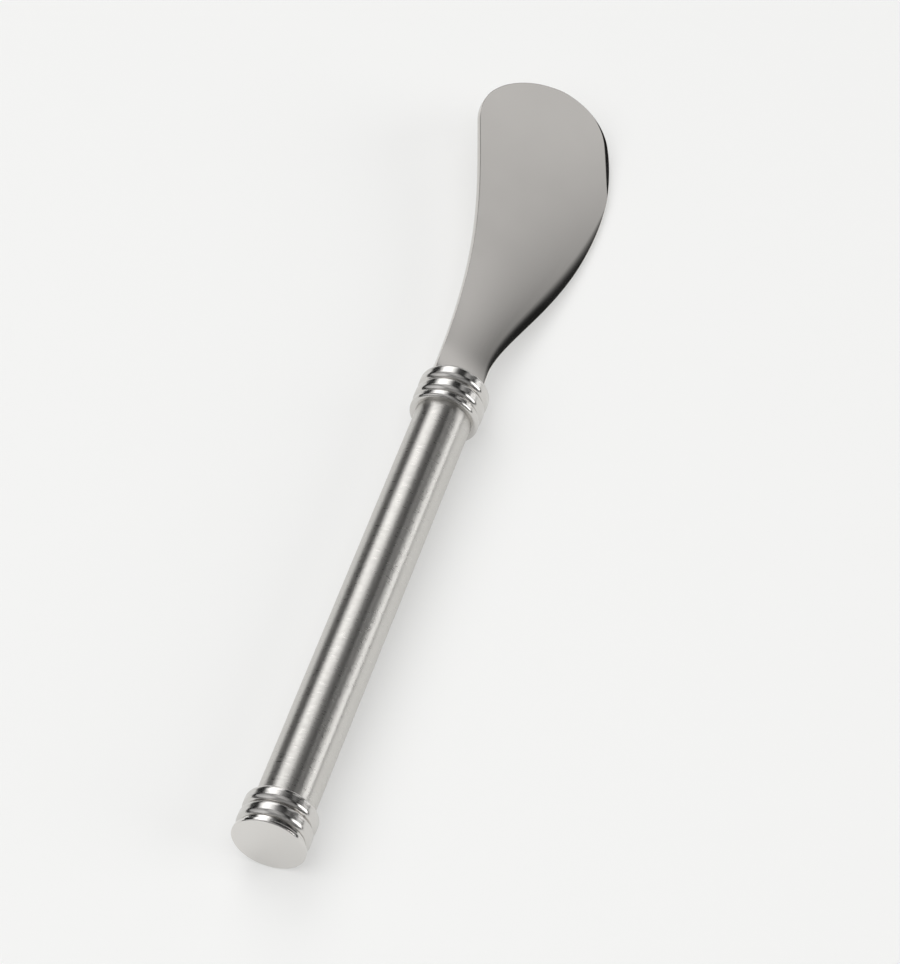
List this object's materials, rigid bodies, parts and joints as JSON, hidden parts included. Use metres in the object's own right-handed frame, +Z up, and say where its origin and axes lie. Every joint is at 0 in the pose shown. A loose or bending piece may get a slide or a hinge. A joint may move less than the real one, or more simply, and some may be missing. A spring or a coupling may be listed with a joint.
{
  "type": "butter knife",
  "caption": "Butter knife with a broad, flat, rounded spreading blade and a straight round hollow handle that has rounded rings at each end.",
  "frame": {"origin": "middle of the flat butt face, on the handle's axis", "axes": "+Y along the handle towards the blade's tip, +Z up with the knife lying on a table on its rings and the edge of its blade's belly, +X towards the belly"},
  "size_m": [0.0263, 0.1731, 0.0135],
  "materials": {
    "blade_steel": "mirror polished stainless steel",
    "ring_steel": "polished stainless steel",
    "disc_steel": "polished stainless steel",
    "tube_steel": "brushed round the circumference",
    "cap_steel": "turned, mostly hidden",
    "cement": "cast filling, hidden"
  },
  "bodies": {
    "root": {"blade": "blade_steel", "front_cap": "cap_steel", "front_ring_outer": "ring_steel", "front_ring_middle": "ring_steel", "front_ring_slim": "ring_steel", "handle_tube": "tube_steel", "butt_ring_inner": "ring_steel", "butt_ring_outer": "ring_steel", "end_disc": "disc_steel", "handle_cement": "cement"}
  },
  "joints": []
}
